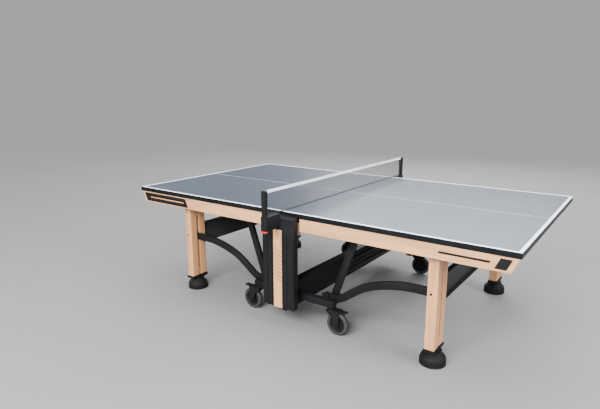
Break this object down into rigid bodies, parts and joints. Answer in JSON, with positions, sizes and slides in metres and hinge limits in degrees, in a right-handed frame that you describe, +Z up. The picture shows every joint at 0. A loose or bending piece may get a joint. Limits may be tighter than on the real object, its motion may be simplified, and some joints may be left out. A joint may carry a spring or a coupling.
{
  "type": "folding table tennis table",
  "caption": "Full-size folding table tennis table: two half tops on wooden legs swing up beside a wheeled central chassis that carries the net.",
  "frame": {"origin": "on the floor under the middle of the net", "axes": "+X along the table towards the right half, +Y across the table away from the near side, +Z up"},
  "size_m": [2.74, 1.888, 0.9125],
  "materials": {
    "playing_surface": "satin grey laminate with white lines",
    "maple": "satin lacquered pale wood",
    "black_steel": "satin black powder coat",
    "bright_steel": "satin",
    "black_plastic": "fine textured",
    "grey_tyre": "matte grey",
    "netting": "knotted dark net with white tape",
    "red_plastic": "gloss"
  },
  "bodies": {
    "chassis": {"cross_beam": "black_steel", "net": "netting", "near_column": "black_steel", "near_column_inlay": "maple", "near_foot_rail": "black_steel", "near_net_post": "black_steel", "far_column": "black_steel", "far_column_inlay": "maple", "far_foot_rail": "black_steel", "far_net_post": "black_steel"},
    "right_carriage": {"right_lift_shaft": "bright_steel"},
    "right_half_top": {"right_board": "playing_surface", "right_top_frame": "black_steel", "right_near_apron": "maple", "right_far_apron": "maple", "right_leg_hinge_shaft": "bright_steel"},
    "right_leg_frame": {"right_near_leg_posts": "maple", "right_far_leg_posts": "maple", "right_leg_panel": "black_steel", "right_near_leg_collar": "black_plastic", "right_far_leg_collar": "black_plastic"},
    "right_swing_arms": {"right_swing_frame": "black_steel"},
    "right_links": {"right_near_link": "black_steel", "right_far_link": "black_steel"},
    "right_near_levelling_foot": {"right_near_foot": "black_plastic"},
    "right_near_caster": {"right_near_caster_fork": "black_steel"},
    "right_near_caster_wheel": {"right_near_caster_tyre": "grey_tyre", "right_near_caster_hub": "black_plastic"},
    "right_near_caster_pedal": {"right_near_brake_pedal": "black_plastic"},
    "right_far_levelling_foot": {"right_far_foot": "black_plastic"},
    "right_far_caster": {"right_far_caster_fork": "black_steel"},
    "right_far_caster_wheel": {"right_far_caster_tyre": "grey_tyre", "right_far_caster_hub": "black_plastic"},
    "right_far_caster_pedal": {"right_far_brake_pedal": "black_plastic"},
    "left_carriage": {"left_lift_shaft": "bright_steel"},
    "left_half_top": {"left_board": "playing_surface", "left_top_frame": "black_steel", "left_near_apron": "maple", "left_far_apron": "maple", "left_leg_hinge_shaft": "bright_steel"},
    "left_leg_frame": {"left_near_leg_posts": "maple", "left_far_leg_posts": "maple", "left_leg_panel": "black_steel", "left_near_leg_collar": "black_plastic", "left_far_leg_collar": "black_plastic"},
    "left_swing_arms": {"left_swing_frame": "black_steel"},
    "left_links": {"left_near_link": "black_steel", "left_far_link": "black_steel"},
    "left_near_levelling_foot": {"left_near_foot": "black_plastic"},
    "left_near_caster": {"left_near_caster_fork": "black_steel"},
    "left_near_caster_wheel": {"left_near_caster_tyre": "grey_tyre", "left_near_caster_hub": "black_plastic"},
    "left_near_caster_pedal": {"left_near_brake_pedal": "black_plastic"},
    "left_far_levelling_foot": {"left_far_foot": "black_plastic"},
    "left_far_caster": {"left_far_caster_fork": "black_steel"},
    "left_far_caster_wheel": {"left_far_caster_tyre": "grey_tyre", "left_far_caster_hub": "black_plastic"},
    "left_far_caster_pedal": {"left_far_brake_pedal": "black_plastic"},
    "near_net_lock": {"near_lock_button": "red_plastic"},
    "far_net_lock": {"far_lock_button": "red_plastic"}
  },
  "joints": [
    {"name": "right_lift", "type": "slide", "parent": "chassis", "child": "right_carriage", "axis": [0, 0, -1], "range_m": [0, 0.385]},
    {"name": "right_top_hinge", "type": "hinge", "parent": "right_carriage", "child": "right_half_top", "pos_m": [0.09, 0, 0.715], "axis": [0, -1, 0], "range_deg": [0, 90.02]},
    {"name": "right_leg_hinge", "type": "hinge", "parent": "right_half_top", "child": "right_leg_frame", "pos_m": [0.94, 0, 0.65], "axis": [0, 1, 0], "range_deg": [0, 77.02]},
    {"name": "right_swing_pivot", "type": "hinge", "parent": "chassis", "child": "right_swing_arms", "pos_m": [0.2743, 0, 0.208], "axis": [0, -1, 0], "range_deg": [0, 36.34]},
    {"name": "right_link_pivot", "type": "hinge", "parent": "chassis", "child": "right_links", "pos_m": [0.23999, 0, 0.222], "axis": [0, -1, 0], "range_deg": [0, 77.44]},
    {"name": "right_near_foot_screw", "type": "slide", "parent": "right_leg_frame", "child": "right_near_levelling_foot", "axis": [0, 0, -1], "range_m": [0, 0.012]},
    {"name": "right_near_caster_swivel", "type": "hinge", "parent": "chassis", "child": "right_near_caster", "pos_m": [0.292, -0.65, 0.15], "axis": [0, 0, 1], "continuous": true},
    {"name": "right_near_caster_roll", "type": "hinge", "parent": "right_near_caster", "child": "right_near_caster_wheel", "pos_m": [0.343, -0.65, 0.073], "axis": [0, 1, 0], "continuous": true},
    {"name": "right_near_caster_brake", "type": "hinge", "parent": "right_near_caster", "child": "right_near_caster_pedal", "pos_m": [0.355, -0.65, 0.156], "axis": [0, 1, 0], "range_deg": [0, 8]},
    {"name": "right_far_foot_screw", "type": "slide", "parent": "right_leg_frame", "child": "right_far_levelling_foot", "axis": [0, 0, -1], "range_m": [0, 0.012]},
    {"name": "right_far_caster_swivel", "type": "hinge", "parent": "chassis", "child": "right_far_caster", "pos_m": [0.292, 0.65, 0.15], "axis": [0, 0, 1], "continuous": true},
    {"name": "right_far_caster_roll", "type": "hinge", "parent": "right_far_caster", "child": "right_far_caster_wheel", "pos_m": [0.343, 0.65, 0.073], "axis": [0, 1, 0], "continuous": true},
    {"name": "right_far_caster_brake", "type": "hinge", "parent": "right_far_caster", "child": "right_far_caster_pedal", "pos_m": [0.355, 0.65, 0.156], "axis": [0, 1, 0], "range_deg": [0, 8]},
    {"name": "left_lift", "type": "slide", "parent": "chassis", "child": "left_carriage", "axis": [0, 0, -1], "range_m": [0, 0.385]},
    {"name": "left_top_hinge", "type": "hinge", "parent": "left_carriage", "child": "left_half_top", "pos_m": [-0.09, 0, 0.715], "axis": [0, 1, 0], "range_deg": [0, 90.02]},
    {"name": "left_leg_hinge", "type": "hinge", "parent": "left_half_top", "child": "left_leg_frame", "pos_m": [-0.94, 0, 0.65], "axis": [0, -1, 0], "range_deg": [0, 77.02]},
    {"name": "left_swing_pivot", "type": "hinge", "parent": "chassis", "child": "left_swing_arms", "pos_m": [-0.2743, 0, 0.208], "axis": [0, 1, 0], "range_deg": [0, 36.34]},
    {"name": "left_link_pivot", "type": "hinge", "parent": "chassis", "child": "left_links", "pos_m": [-0.23999, 0, 0.222], "axis": [0, 1, 0], "range_deg": [0, 77.44]},
    {"name": "left_near_foot_screw", "type": "slide", "parent": "left_leg_frame", "child": "left_near_levelling_foot", "axis": [0, 0, -1], "range_m": [0, 0.012]},
    {"name": "left_near_caster_swivel", "type": "hinge", "parent": "chassis", "child": "left_near_caster", "pos_m": [-0.292, -0.65, 0.15], "axis": [0, 0, 1], "continuous": true},
    {"name": "left_near_caster_roll", "type": "hinge", "parent": "left_near_caster", "child": "left_near_caster_wheel", "pos_m": [-0.343, -0.65, 0.073], "axis": [0, 1, 0], "continuous": true},
    {"name": "left_near_caster_brake", "type": "hinge", "parent": "left_near_caster", "child": "left_near_caster_pedal", "pos_m": [-0.355, -0.65, 0.156], "axis": [0, -1, 0], "range_deg": [0, 8]},
    {"name": "left_far_foot_screw", "type": "slide", "parent": "left_leg_frame", "child": "left_far_levelling_foot", "axis": [0, 0, -1], "range_m": [0, 0.012]},
    {"name": "left_far_caster_swivel", "type": "hinge", "parent": "chassis", "child": "left_far_caster", "pos_m": [-0.292, 0.65, 0.15], "axis": [0, 0, 1], "continuous": true},
    {"name": "left_far_caster_roll", "type": "hinge", "parent": "left_far_caster", "child": "left_far_caster_wheel", "pos_m": [-0.343, 0.65, 0.073], "axis": [0, 1, 0], "continuous": true},
    {"name": "left_far_caster_brake", "type": "hinge", "parent": "left_far_caster", "child": "left_far_caster_pedal", "pos_m": [-0.355, 0.65, 0.156], "axis": [0, -1, 0], "range_deg": [0, 8]},
    {"name": "near_net_lock_press", "type": "slide", "parent": "chassis", "child": "near_net_lock", "axis": [0, 1, 0], "range_m": [0, 0.004], "stiffness_N_per_m": 300},
    {"name": "far_net_lock_press", "type": "slide", "parent": "chassis", "child": "far_net_lock", "axis": [0, -1, 0], "range_m": [0, 0.004], "stiffness_N_per_m": 300}
  ],
  "couplings": [
    {"joint": "right_top_hinge", "follows": "right_lift", "rad_per_m": 4.08},
    {"joint": "right_leg_hinge", "follows": "right_lift", "rad_per_m": 3.4907},
    {"joint": "right_swing_pivot", "follows": "right_lift", "rad_per_m": 1.6464},
    {"joint": "right_link_pivot", "follows": "right_lift", "rad_per_m": 3.5096},
    {"joint": "left_top_hinge", "follows": "left_lift", "rad_per_m": 4.08},
    {"joint": "left_leg_hinge", "follows": "left_lift", "rad_per_m": 3.4907},
    {"joint": "left_swing_pivot", "follows": "left_lift", "rad_per_m": 1.6464},
    {"joint": "left_link_pivot", "follows": "left_lift", "rad_per_m": 3.5096}
  ]
}
